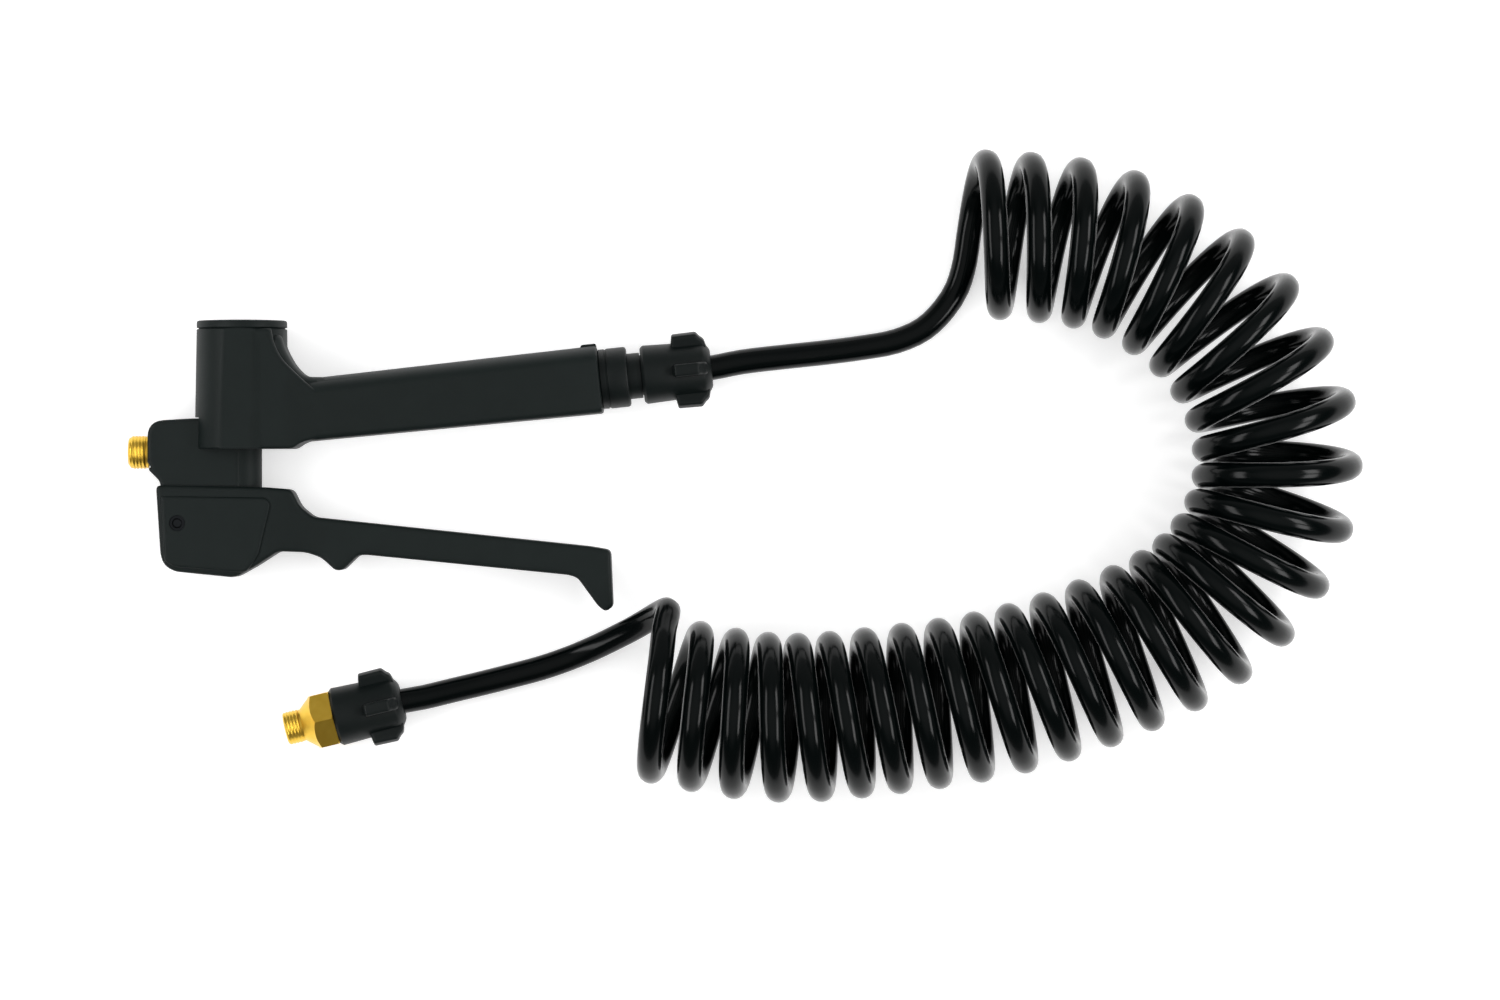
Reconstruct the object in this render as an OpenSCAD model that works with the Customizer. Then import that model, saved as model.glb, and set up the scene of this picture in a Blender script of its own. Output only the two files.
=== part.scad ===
// Hand-held squeeze-lever valve gun on a spiral recoil hose, lying on its side.
// All sizes in millimetres. +X runs along the handle, +Y along the barrel, +Z up from the table.
// The origin is the centre of the outlet nipple's end face; the nipple points along -X.

/* [Barrel] */
// Outside radius of the barrel and its cap
barrel_r = 18; // [17:0.5:20]
// Extra radius of the barrel at its open foot
foot_draft = 0.8; // [0:0.2:1.2]
// Height of the barrel's foot above the outlet axis
barrel_foot = 1.4; // [1:0.2:2]
// Height of the barrel's top edge above the outlet axis
barrel_top = 49; // [48:1:56]
// Half the thickness across the barrel's two flats and the handle root
flat_half = 17; // [16:0.5:17.5]
// Thickness of the cap's rim
cap_rim_h = 3; // [2:0.5:4]

/* [Handle] */
// Height of the handle axis above the outlet axis, at the barrel's centre
handle_rise = 14; // [13.5:0.5:15]
// Upward tilt of the handle in degrees
handle_tilt = 6; // [4:0.5:8]
// Distance from the barrel's centre to the handle's end face
handle_len = 143.5; // [135:0.5:160]
// Height of the handle's section at the barrel
root_h = 24.5; // [24:0.5:28]
// Height of the handle's section at its end
end_h = 27; // [25:0.2:30]
// Depth of the handle's section at its end
end_depth = 29; // [27:0.5:32]
// Rounding of the handle's long edges
handle_round = 5; // [3:0.5:7]

/* [Valve] */
// Radius of the valve body inside the barrel
valve_body_r = 13; // [12.5:0.25:14]
// Radius of the spring chamber
chamber_r = 8; // [7.6:0.2:9]
// Height of the valve seat's face above the outlet axis
seat_y = 10; // [9.5:0.25:10.5]
// Thickness of the brass seat ring
seat_h = 4; // [3:0.5:4]
// Radius of the hole through the seat
seat_hole_r = 3.6; // [3.4:0.1:4]
// Radius of the stem
stem_r = 2.5; // [2:0.1:2.7]
// Distance of the guide's lower end below the outlet axis
guide_drop = 15.4; // [14.5:0.2:16]
// Radius of the stem guide below the barrel
guide_r = 8; // [7.4:0.2:8.4]
// Half the thickness of the outlet block
block_half = 8.5; // [8.2:0.1:8.8]
// Reach of the outlet block from the barrel's centre
block_reach = 37; // [36:0.5:42]
// Height of the outlet block's top above the outlet axis
block_top = 13.8; // [12.5:0.2:15]

/* [Outlet] */
// Outside radius of the outlet and supply threads, G 1/4
thread_r = 6.58; // [6:0.02:7]
// Length of the outlet thread that stands out of the block
outlet_len = 8; // [7:0.5:12]
// Radius of the waterway through fittings and tube
waterway_r = 2.4; // [2:0.1:2.6]

/* [Lever] */
// Distance of the pivot pin behind the stem
pivot_back = 24.8; // [24:0.2:26]
// Distance of the pivot pin below the outlet axis
pivot_drop = 28.2; // [28:0.2:29]
// Radius of the pivot pin
pivot_r = 2; // [1.8:0.1:2.2]
// Reach of the lever's tip from the barrel's centre
lever_reach = 148; // [140:1:156]
// Half the width of the lever's flat side plates
plate_half = 12; // [11.6:0.1:12.5]
// Half the width of the lever's arm
arm_half = 9.5; // [8:0.5:11]
// Side clearance between the lever's plates and the outlet block
lever_side_gap = 0.5; // [0.3:0.1:0.7]

/* [Hose fittings] */
// Radius of the connector's flange against the handle
flange_r = 12; // [11.2:0.1:12.6]
// Length of the connector's flange
flange_len = 11.4; // [10:0.2:13]
// Radius of the connector's threaded neck
neck_r = 8; // [7.8:0.1:8.6]
// Radius of the plain shoulder between flange and nut
shoulder_neck_r = 9.1; // [8.8:0.1:10]
// Length of the gap between flange and nut
neck_len = 5.4; // [4:0.2:7]
// Length of a hose nut
nut_len = 27.8; // [26:0.2:30]
// Radius of a hose nut's plain collar
nut_r = 11.6; // [11:0.1:12.4]
// Radius across the tops of a hose nut's fins
fin_r = 15.3; // [13.5:0.1:16]
// Width of one fin
fin_w = 5; // [3:0.25:5.5]
// Number of fins on a hose nut
fin_count = 5; // [5:1:7]
// Width across the flats of the brass hexagon
hex_af = 21; // [20.4:0.2:22]

/* [Hose] */
// Outside diameter of the hose
hose_d = 10; // [9.6:0.1:10.2]
// Radius of the hose's bore
hose_bore_r = 3.2; // [3.1:0.05:3.4]
// Radius of the spiral, measured to the middle of the hose
coil_r = 28.75; // [26.75:0.25:29.25]

/* [Hidden] */

$fn = 64;
eps = 0.1; // overlap of joined shapes and overshoot of cuts
beyond = 70; // past every outline, for cuts that run off an edge

// clearances
slip = 0.1; // fixed pieces pushed into each other, on the radius
running = 0.05; // a pin or stem that turns or slides, on the radius
ring_slip = 0.02; // a seal ring in its groove and a bush in its seat, on the radius
hose_slip = 0.3; // the hose inside a nut, on the radius

// heights along the barrel's axis
table_z = -barrel_r;
outlet_reach = block_reach + outlet_len;
valve_body_top = barrel_top - 6;
cap_plug_len = 8;
cap_plug_end = valve_body_top - cap_plug_len;
spring_top = valve_body_top + 2;
barrel_bore_r = valve_body_r + slip;

// seals: the radius of each ring's own section
body_ring_r = 0.9;
small_ring_r = 0.7;
tube_ring_r = 0.55;
body_ring_ys = [24, 38];
stem_ring_ys = [-8.6, -6];
cap_ring_up = 3;

// stem, poppet and spring
washer_h = 1.8;
washer_r = 5.8;
poppet_h = 3;
poppet_r = 6.3;
spigot_r = 3;
spigot_h = 3;
spindle_r = 1.6;
stem_nut_h = 2.4;
stem_nut_af = 5.5;
spindle_over = 0.6;
poppet_y = seat_y + washer_h;
spigot_y = poppet_y + poppet_h;
stem_nut_y = spigot_y + spigot_h;
lower_chamber_r = 5;
lower_chamber_y = -4;
seat_r = 7;
spring_wire_r = 0.7;
spring_turns = 8;
spring_r = poppet_r - spring_wire_r - 0.6;
spring_pocket_r = spring_r + spring_wire_r + 0.4;
stem_foot_y = -21.5;
thrust_gap = 0.15;
pad_y = stem_foot_y - stem_r - thrust_gap;
pad_r = 3.2;
pad_h = 2.4;
pad_pin_r = 1.5;
pad_pin_len = 3;
bush_r = 4.5;
bush_len = 6;
nipple_shank = 12;
nipple_shank_r = 5.2;
nipple_ring_x = 5;
outlet_bore_r = waterway_r + 0.6;

// handle tube and connector, as distances along the handle's axis
tube_r = 6;
tube_bore_r = 4;
tube_start = chamber_r + 1.7;
shank_r = 9.6;
shank_len = 24;
shank_start = handle_len - shank_len;
tube_end = shank_start + 12;
tube_ring_in = 1.9;
tube_ring_ds = [tube_start + tube_ring_in, tube_end - tube_ring_in];
cavity_start = 30;
tab_len = 8.5;
section_start = 16;
neck_start = handle_len + flange_len;
nut_start = neck_start + neck_len;

// inside of a hose nut, as distances from its open end
neck_in_nut = 10;
sleeve_in_nut = neck_in_nut + 0.4;
sleeve_len = 6;
sleeve_r = 6.9;
barb_end = nut_len - 5;
collar_len = 12.9;
fin_root_r = nut_r - 0.5;
fin_crest_len = 9.7;
fin_fall = 2.8;
fin_end_r = 12.2;
nose_r = 7;
nose_len = 3;

// lever
hinge_x = -pivot_back;
hinge_y = -pivot_drop;
lug_r = 6;
plate_inner = block_half + lever_side_gap;
rim_half = plate_half - 1;
lever_top = -guide_drop + 0.6;
lever_back = hinge_x - 8.6;
cavity_floor = hinge_y - lug_r - 3.8;
cavity_front = guide_r + 10.8;
housing_front = 23.6;
recess_r = pivot_r + 1.2;
recess_depth = 1.2;
clip_h = 0.6;
clip_gap = 0.1;
clip_r = recess_r - 0.15;
pin_half = plate_half - recess_depth + clip_gap + clip_h + 0.3;
boss_r = 6;
arm_edge = 2.5;

// drops of the arm's and the hooked tip's corners below the outlet axis
arm_top_drop = 37.4;
arm_low_drop = 41;
tip_len = 17.4;
tip_top_drop = 38.8;
tip_bend_drop = 48.8;
tip_end_drop = 63.4;
knuckle_drop = 47;
heel_drop = 49.8;

// the lever's outline: housing, arm, hooked tip, then back along the underside
lever_outline = [
    [lever_back, lever_top + 1.6], [9, lever_top + 0.9], [housing_front - 3.2, lever_top],
    [housing_front, lever_top - 6.6], [29, lever_top - 11],
    [lever_reach - 9, -arm_top_drop], [lever_reach - 1, -tip_top_drop],
    [lever_reach, -tip_end_drop + 2], [lever_reach - 3, -tip_end_drop],
    [lever_reach - 6, -tip_end_drop + 2.4], [lever_reach - tip_len + 3.4, -tip_bend_drop - 1.2],
    [lever_reach - tip_len, -tip_bend_drop],
    [50, -arm_low_drop + 0.2], [46.8, -arm_low_drop], [40.8, -knuckle_drop + 0.2], [37.8, -knuckle_drop],
    [32, -arm_low_drop - 0.8], [26, -arm_low_drop + 1.2], [15.2, -arm_low_drop + 1.6],
    [6, -heel_drop + 4.4], [-2, -heel_drop], [-26, -heel_drop + 2.4], [-30, -heel_drop + 4.8],
    [lever_back + 1.8, -arm_low_drop]
];
// the raised flat on each side of the lever's housing
plate_outline = [
    [lever_back + 2, lever_top + 0.2], [7.6, lever_top - 3], [10.4, lever_top - 6.2],
    [5.2, -heel_drop + 6], [-0.4, -heel_drop + 2], [-26, -heel_drop + 4.2], [-30, -heel_drop + 6.8]
];
// the arm's outline drawn in from its edges, for its full width
arm_flank = [
    [22, lever_top - 9.2], [lever_reach - 9.4, -arm_top_drop - arm_edge],
    [lever_reach - 2.8, -tip_top_drop - 1.2], [lever_reach - 2.4, -tip_end_drop + 3.8],
    [lever_reach - tip_len + 5.4, -tip_bend_drop + 0.6],
    [lever_reach - tip_len + 0.4, -tip_bend_drop + arm_edge + 0.2],
    [50, -arm_low_drop + arm_edge], [30, -arm_low_drop + arm_edge], [12, -arm_low_drop + arm_edge]
];

// the swept side of the handle's root, and the web above it
root_outline = [
    [0, barrel_foot], [21.4, barrel_foot], [24.6, barrel_foot + 2.4],
    [30, handle_rise - root_h / 2 + 3.2], [30, handle_rise + root_h / 2 - 1.2],
    [19.2, 30], [10.4, 38], [6, barrel_top], [0, barrel_top]
];
web_outline = [
    [0, handle_rise], [40, handle_rise + 10], [34, handle_rise + root_h / 2 + 3],
    [25.4, handle_rise + root_h / 2 + 3.6], [21.4, 34], [barrel_r - 0.6, 41.6],
    [barrel_r - 2, barrel_top - 2], [0, barrel_top - 2]
];
web_half = 11;

// outlet block with its rounded shoulder, and the lug that carries the pivot
shoulder_r = 6;
shoulder_y = block_top - shoulder_r - 0.4;
block_drop = 6.6;
lug_outline = [
    [-block_reach, -block_drop], [-block_reach + 5, -block_drop - 5], [hinge_x - lug_r, hinge_y],
    [hinge_x + lug_r, hinge_y], [-14, -guide_drop], [0, -guide_drop], [0, -block_drop]
];

// the far end of the hose lies on the fins of its nut
end_tip = [62.2, -110.4];
end_turn = 13.5;
end_thread_len = 6.4;
end_cone_len = 5.4;
end_cone_r = hex_af / 2 - 0.1;
end_hex_len = 8.2;
end_nut_start = end_thread_len + end_cone_len + end_hex_len;
fin_turn = 180 / fin_count;
end_z = table_z + fin_r * cos(fin_turn) + fin_w / 2 * sin(fin_turn);

// the spiral: points that draw its middle line, as a smooth cubic spline, three turns apart,
// from the gun's end to the far end
hose_r = hose_d / 2;
coil_z = table_z + hose_r + coil_r;
coil_guide = [
    [343.5, 86], [395, 83.5], [445.5, 47.5], [463.5, -10.5], [437, -60.5],
    [392, -81.5], [346, -97], [299, -102.5], [256.5, -107.5], [210.5, -97.5]
];
guide_first = 1.25;
guide_turns = 3;
coil_from = 0.75;
coil_to = 28.375;
rings_a_turn = 8;
coil_sides = 6;
tail_sides = 10;
hose_low = table_z + hose_r;

// the free stretches of hose between the fittings and the spiral
gun_route = [
    [244, 36, -1], [260, 38, -4], [276, 39.8, -8], [292.5, 42, -11.6], [306, 44.6, hose_low],
    [317, 49.6, hose_low], [325.2, 57.6, hose_low], [330.4, 66, hose_low]
];
end_route = [
    [215, -62.8, 20], [213.1, -62.9, 13], [208.6, -65.6, 5], [202, -69.6, -1], [194, -73.8, -6],
    [185, -78.2, -10.4], [175, -82.4, hose_low], [164, -86.2, hose_low], [152, -89.4, hose_low],
    [140, -92.4, -11.6], [128, -95.2, -8.6], [117, -97.8, -5.8]
];

/* ---- vectors, the spiral's middle line and swept tubes ---- */

function unit(v) = v / norm(v);

function guide_point(i) =
    let (g = coil_guide, last = len(g) - 1)
    i < 0 ? g[0] + i * (g[1] - g[0]) :
    i > last ? g[last] + (i - last) * (g[last] - g[last - 1]) : g[i];

function coil_middle(turn) =
    let (u = (turn - guide_first) / guide_turns, i = floor(u), f = u - i)
    let (a = guide_point(i - 1), b = guide_point(i), c = guide_point(i + 1), d = guide_point(i + 2))
    (pow(1 - f, 3) * a + (3 * pow(f, 3) - 6 * f * f + 4) * b
        + (-3 * pow(f, 3) + 3 * f * f + 3 * f + 1) * c + pow(f, 3) * d) / 6;

function coil_point(turn) =
    let (m = coil_middle(turn), t = unit(coil_middle(turn + 0.01) - coil_middle(turn - 0.01)))
    let (out = coil_r * cos(360 * turn))
    [m.x - t.y * out, m.y + t.x * out, coil_z + coil_r * sin(360 * turn)];

function coil_heading(turn) = unit(coil_point(turn + 0.002) - coil_point(turn - 0.002));

coil_in_dir = coil_heading(coil_from);
coil_out_dir = coil_heading(coil_to);
coil_in = coil_point(coil_from) - hose_d * coil_in_dir;
coil_out = coil_point(coil_to) + hose_d * coil_out_dir;
ring_count = (coil_to - coil_from) * rings_a_turn;
coil_path = concat(
    [coil_in],
    [for (i = [0 : ring_count]) coil_point(coil_from + i / rings_a_turn)],
    [coil_out]
);

// least distance between turns, less the hose's own diameter
apart = rings_a_turn - 3;
coil_gap = min([
    for (i = [0 : len(coil_path) - 1 - apart], j = [i + apart : len(coil_path) - 1])
        norm(coil_path[i] - coil_path[j])
]) - hose_d;
echo(least_gap_between_hose_turns_mm = coil_gap);

// where the free stretches start, inside the two nuts
handle_dir = [cos(handle_tilt), sin(handle_tilt), 0];
end_dir = [cos(end_turn), sin(end_turn), 0];
gun_tail_start = [outlet_reach, handle_rise, 0] + (nut_start + barb_end) * handle_dir;
gun_nut_end = [outlet_reach, handle_rise, 0] + (nut_start + nut_len) * handle_dir;
end_tail_start = [end_tip.x, end_tip.y, end_z] + (end_nut_start + barb_end) * end_dir;
end_nut_end = [end_tip.x, end_tip.y, end_z] + (end_nut_start + nut_len) * end_dir;

function headings(path, first, last) = [
    for (i = [0 : len(path) - 1])
        i == 0 ? first : i == len(path) - 1 ? last : unit(path[i + 1] - path[i - 1])
];

function sides_along(dirs, i, side) =
    i == len(dirs) ? [] :
    let (s = unit(side - (side * dirs[i]) * dirs[i]))
    concat([s], sides_along(dirs, i + 1, s));

module tube(path, r, sides, first, last) {
    dirs = headings(path, first, last);
    across = sides_along(dirs, 0, abs(first.z) < 0.8 ? [0, 0, 1] : [1, 0, 0]);
    rings = len(path);
    points = [
        for (i = [0 : rings - 1], k = [0 : sides - 1])
            let (turn = 360 * k / sides)
            path[i] + r * (cos(turn) * across[i] + sin(turn) * cross(dirs[i], across[i]))
    ];
    walls = [
        for (i = [0 : rings - 2], k = [0 : sides - 1], half = [0, 1])
            let (a = i * sides + k, b = i * sides + (k + 1) % sides)
            half == 0 ? [a, a + sides, b + sides] : [a, b + sides, b]
    ];
    last_ring = (rings - 1) * sides;
    caps = [
        for (k = [1 : sides - 2], end = [0, 1])
            end == 0 ? [0, k, k + 1] : [last_ring, last_ring + k + 1, last_ring + k]
    ];
    polyhedron(points, concat(walls, caps), convexity = 8);
}

/* ---- places ---- */

// the barrel's axis is +Y through the module's origin
module at_barrel() {
    translate([outlet_reach, 0, 0]) children();
}

// +Z of the children runs up the barrel's axis, starting at height y
module up_barrel(y = 0) {
    at_barrel() translate([0, y, 0]) rotate([-90, 0, 0]) children();
}

// +Z of the children runs out along the handle's axis, starting at distance d
module out_handle(d = 0) {
    at_barrel() translate([0, handle_rise, 0]) rotate([0, 0, handle_tilt])
        translate([d, 0, 0]) rotate([0, 90, 0]) children();
}

// +Z of the children runs from the supply thread's tip towards the hose
module along_end(d = 0) {
    translate([end_tip.x, end_tip.y, end_z]) rotate([0, 0, end_turn])
        translate([d, 0, 0]) rotate([0, 90, 0]) children();
}

// a flat outline in the plane of the table, made thick both ways
module slab(outline, half) {
    at_barrel() translate([0, 0, -half]) linear_extrude(2 * half) polygon(outline);
}

module seal_ring(r, section) {
    rotate_extrude() translate([r, 0]) circle(section, $fn = 24);
}

// cuts a ring's groove, between two radii
module groove(r_in, r_out, section) {
    width = 2.5 * section;
    translate([0, 0, -width / 2]) difference() {
        cylinder(h = width, r = r_out);
        if (r_in > 0) translate([0, 0, -eps]) cylinder(h = width + 2 * eps, r = r_in);
    }
}

/* ---- handle and barrel ---- */

module handle_section(d, h, depth) {
    out_handle(d) linear_extrude(0.01) offset(r = handle_round)
        square([depth - 2 * handle_round, h - 2 * handle_round], center = true);
}

module handle_body() {
    color("#20262a") difference() {
        union() {
            intersection() {
                up_barrel(barrel_foot)
                    cylinder(h = barrel_top - barrel_foot, r1 = barrel_r + foot_draft, r2 = barrel_r);
                slab([
                    [-beyond, -beyond], [beyond, -beyond], [beyond, beyond], [-beyond, beyond]
                ], flat_half);
            }
            slab(root_outline, flat_half);
            slab(web_outline, web_half);
            hull() {
                handle_section(section_start, root_h, 2 * flat_half);
                handle_section(handle_len - 0.01, end_h, end_depth);
            }
            // small tab on the handle's top edge, near its end
            out_handle(handle_len - tab_len) translate([-3, end_h / 2 - 1, 0])
                cube([6, 2.4, tab_len - 0.2]);
        }
        up_barrel(barrel_foot - 1) cylinder(h = barrel_top - barrel_foot + 1 + eps, r = barrel_bore_r);
        // notch that the outlet block passes through
        slab([
            [-beyond, -beyond], [0, -beyond], [0, block_top + slip], [-beyond, block_top + slip]
        ], block_half + slip);
        out_handle(valve_body_r - 4) cylinder(h = cavity_start, r = tube_r + slip);
        out_handle(cavity_start) cylinder(h = handle_len, r = shank_r + slip);
    }
}

module barrel_cap() {
    color("#1b2022") difference() {
        union() {
            up_barrel(barrel_top) cylinder(h = cap_rim_h, r = barrel_r);
            up_barrel(valve_body_top) cylinder(h = barrel_top - valve_body_top, r = valve_body_r);
            up_barrel(cap_plug_end) cylinder(h = cap_plug_len, r = chamber_r - slip);
        }
        up_barrel(cap_plug_end - eps) cylinder(h = spring_top - cap_plug_end + eps, r = spring_pocket_r);
        up_barrel(cap_plug_end + cap_ring_up)
            groove(chamber_r - small_ring_r * 2 - ring_slip, chamber_r + eps, small_ring_r);
    }
}

module cap_seal() {
    color("#151515") up_barrel(cap_plug_end + cap_ring_up)
        seal_ring(chamber_r - small_ring_r - ring_slip / 2, small_ring_r - ring_slip);
}

/* ---- valve ---- */

module valve_body() {
    color("#24292b") difference() {
        union() {
            up_barrel(barrel_foot) cylinder(h = valve_body_top - barrel_foot, r = valve_body_r);
            up_barrel(-guide_drop) cylinder(h = guide_drop + barrel_foot + eps, r = guide_r);
            slab([
                [-block_reach, -block_drop], [0, -block_drop], [0, block_top],
                [-block_reach + shoulder_r, shoulder_y + shoulder_r], [-block_reach, shoulder_y]
            ], block_half);
            at_barrel() translate([-block_reach + shoulder_r, shoulder_y, -block_half])
                cylinder(h = 2 * block_half, r = shoulder_r);
            slab(lug_outline, block_half);
            at_barrel() translate([hinge_x, hinge_y, -block_half]) cylinder(h = 2 * block_half, r = lug_r);
        }
        up_barrel(seat_y) cylinder(h = barrel_top, r = chamber_r);
        up_barrel(seat_y - seat_h) cylinder(h = seat_h + eps, r = seat_r + slip);
        up_barrel(lower_chamber_y) cylinder(h = seat_y - lower_chamber_y - 1, r = lower_chamber_r);
        up_barrel(-guide_drop - eps) cylinder(h = guide_drop + eps, r = stem_r + running);
        up_barrel(-guide_drop - eps) cylinder(h = bush_len + eps, r = bush_r + ring_slip);
        for (y = stem_ring_ys)
            up_barrel(y) groove(0, stem_r + running + small_ring_r * 2, small_ring_r);
        for (y = body_ring_ys)
            up_barrel(y)
                groove(barrel_bore_r - body_ring_r * 2 - ring_slip, valve_body_r + eps, body_ring_r);
        // outlet passage and the nipple's socket
        at_barrel() rotate([0, -90, 0]) cylinder(h = block_reach, r = outlet_bore_r);
        at_barrel() translate([-block_reach + nipple_shank, 0, 0]) rotate([0, -90, 0])
            cylinder(h = nipple_shank + eps, r = nipple_shank_r + ring_slip);
        // supply port and the tube's socket
        out_handle(1) cylinder(h = tube_start, r = tube_bore_r);
        out_handle(tube_start) cylinder(h = valve_body_r, r = tube_r + ring_slip);
        at_barrel() translate([hinge_x, hinge_y, -block_half - eps])
            cylinder(h = 2 * block_half + 2 * eps, r = pivot_r + ring_slip);
    }
}

module body_seals() {
    color("#151515") for (y = body_ring_ys)
        up_barrel(y) seal_ring(barrel_bore_r - body_ring_r - ring_slip / 2, body_ring_r - ring_slip);
}

module valve_seat() {
    color("#c9a24a") up_barrel(seat_y - seat_h) difference() {
        cylinder(h = seat_h, r = seat_r);
        translate([0, 0, -eps]) cylinder(h = seat_h + 2 * eps, r = seat_hole_r);
    }
}

module stem_bush() {
    color("#b9964a") up_barrel(-guide_drop) difference() {
        cylinder(h = bush_len, r = bush_r);
        translate([0, 0, -eps]) cylinder(h = bush_len + 2 * eps, r = stem_r + running);
    }
}

module stem_seals() {
    color("#151515") for (y = stem_ring_ys)
        up_barrel(y) seal_ring(stem_r + running + small_ring_r, small_ring_r - ring_slip);
}

/* ---- outlet ---- */

module outlet_nipple() {
    color("#c9a24a") difference() {
        union() {
            translate([outlet_len, 0, 0]) rotate([0, -90, 0]) cylinder(h = outlet_len, r = thread_r);
            translate([outlet_len + nipple_shank, 0, 0]) rotate([0, -90, 0])
                cylinder(h = nipple_shank + eps, r = nipple_shank_r);
        }
        translate([outlet_len + nipple_shank + eps, 0, 0]) rotate([0, -90, 0])
            cylinder(h = outlet_len + nipple_shank + 2 * eps, r = outlet_bore_r);
        translate([outlet_len + nipple_ring_x, 0, 0]) rotate([0, 90, 0])
            groove(nipple_shank_r - 2 * tube_ring_r, nipple_shank_r + eps, tube_ring_r);
    }
}

module outlet_seal() {
    color("#151515") translate([outlet_len + nipple_ring_x, 0, 0]) rotate([0, 90, 0])
        seal_ring(nipple_shank_r - tube_ring_r + ring_slip / 2, tube_ring_r - ring_slip / 2);
}

/* ---- supply through the handle ---- */

module handle_tube() {
    color("#c4c7c9") difference() {
        out_handle(tube_start) cylinder(h = tube_end - tube_start, r = tube_r);
        out_handle(tube_start - eps) cylinder(h = tube_end - tube_start + 2 * eps, r = tube_bore_r);
        for (d = tube_ring_ds)
            out_handle(d) groove(tube_r - 2 * tube_ring_r, tube_r + eps, tube_ring_r);
    }
}

module tube_seals() {
    color("#151515") for (d = tube_ring_ds)
        out_handle(d) seal_ring(tube_r - tube_ring_r + ring_slip / 2, tube_ring_r - ring_slip / 2);
}

// neck and barb that a hose nut screws onto, from the nut's open end
module hose_spigot() {
    translate([0, 0, -eps]) cylinder(h = neck_in_nut + eps, r = neck_r);
    translate([0, 0, neck_in_nut - eps])
        cylinder(h = barb_end - neck_in_nut + eps, r = hose_bore_r - ring_slip);
}

module hose_connector() {
    color("#1d2224") difference() {
        union() {
            out_handle(shank_start) cylinder(h = shank_len + eps, r = shank_r);
            out_handle(handle_len) cylinder(h = flange_len, r = flange_r);
            out_handle(neck_start - eps) cylinder(h = neck_len + 2 * eps, r = neck_r);
            out_handle(neck_start - eps) cylinder(h = neck_len - 0.4, r = shoulder_neck_r);
            out_handle(nut_start) hose_spigot();
        }
        out_handle(shank_start - eps) cylinder(h = tube_end - shank_start + eps, r = tube_r + ring_slip);
        out_handle(shank_start) cylinder(h = handle_len, r = waterway_r);
    }
}

/* ---- hose nut, sleeve and the hose's end on its barb, from the nut's open end ---- */

// one fin in the plane of the nut's axis: (radius, distance from the open end)
fin_outline = [
    [nose_r, collar_len - eps], [fin_r, collar_len - eps], [fin_r, collar_len + fin_crest_len],
    [fin_end_r, nut_len - fin_fall], [nose_r, nut_len - fin_fall]
];

module nut() {
    color("#1b1f21") difference() {
        union() {
            cylinder(h = collar_len, r = nut_r);
            cylinder(h = nut_len - nose_len, r = fin_root_r);
            translate([0, 0, nut_len - nose_len]) cylinder(h = nose_len, r1 = fin_root_r, r2 = nose_r);
            for (i = [0 : fin_count - 1])
                rotate([90, 0, i * 360 / fin_count + 180]) translate([0, 0, -fin_w / 2])
                    linear_extrude(fin_w) polygon(fin_outline);
        }
        translate([0, 0, -eps]) cylinder(h = sleeve_in_nut + eps, r = neck_r + slip);
        cylinder(h = sleeve_in_nut + sleeve_len + slip, r = sleeve_r + slip);
        cylinder(h = nut_len + eps, r = hose_r + hose_slip);
    }
}

module clamp_sleeve() {
    color("#d8d4c8") translate([0, 0, sleeve_in_nut]) difference() {
        cylinder(h = sleeve_len, r = sleeve_r);
        translate([0, 0, -eps]) cylinder(h = sleeve_len + 2 * eps, r = hose_r + ring_slip);
    }
}

module hose_end() {
    color("#0e0f10") translate([0, 0, neck_in_nut + slip]) difference() {
        cylinder(h = barb_end - neck_in_nut - slip, r = hose_r);
        translate([0, 0, -eps]) cylinder(h = barb_end, r = hose_bore_r);
    }
}

module gun_hose_nut() {
    out_handle(nut_start) nut();
}

module gun_clamp_sleeve() {
    out_handle(nut_start) clamp_sleeve();
}

module gun_hose_end() {
    out_handle(nut_start) hose_end();
}

/* ---- lever and its pivot ---- */

module at_pivot(z = 0) {
    at_barrel() translate([hinge_x, hinge_y, z]) children();
}

module pivot_pin() {
    color("#a9adb0") at_pivot(-pin_half) cylinder(h = 2 * pin_half, r = pivot_r);
}

module pin_clips() {
    color("#8d9194") for (side = [-1, 1])
        at_pivot(side * (plate_half - recess_depth + clip_gap + clip_h / 2)) difference() {
            cylinder(h = clip_h, r = clip_r, center = true);
            cylinder(h = clip_h + eps, r = pivot_r + ring_slip, center = true);
        }
}

module lever() {
    color("#22272a") difference() {
        union() {
            difference() {
                union() {
                    slab(lever_outline, arm_half - arm_edge);
                    slab(arm_flank, arm_half);
                    intersection() {
                        slab(lever_outline, rim_half);
                        slab([
                            [-beyond, -beyond], [housing_front, -beyond], [housing_front, 0], [-beyond, 0]
                        ], rim_half);
                    }
                    slab(plate_outline, plate_half);
                }
                slab([
                    [-beyond, cavity_floor], [cavity_front, cavity_floor], [cavity_front, 0], [-beyond, 0]
                ], plate_inner);
            }
            // post under the thrust pad
            up_barrel(cavity_floor - eps) cylinder(h = pad_y - pad_h - cavity_floor + eps, r = boss_r);
        }
        up_barrel(pad_y - pad_h - pad_pin_len - slip)
            cylinder(h = pad_pin_len + pad_h, r = pad_pin_r + ring_slip);
        at_pivot(-plate_half - eps) cylinder(h = 2 * plate_half + 2 * eps, r = pivot_r + running);
        for (side = [-1, 1])
            at_pivot(side * (plate_half - recess_depth / 2 + eps))
                cylinder(h = recess_depth + 2 * eps, r = recess_r, center = true);
    }
}

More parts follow.
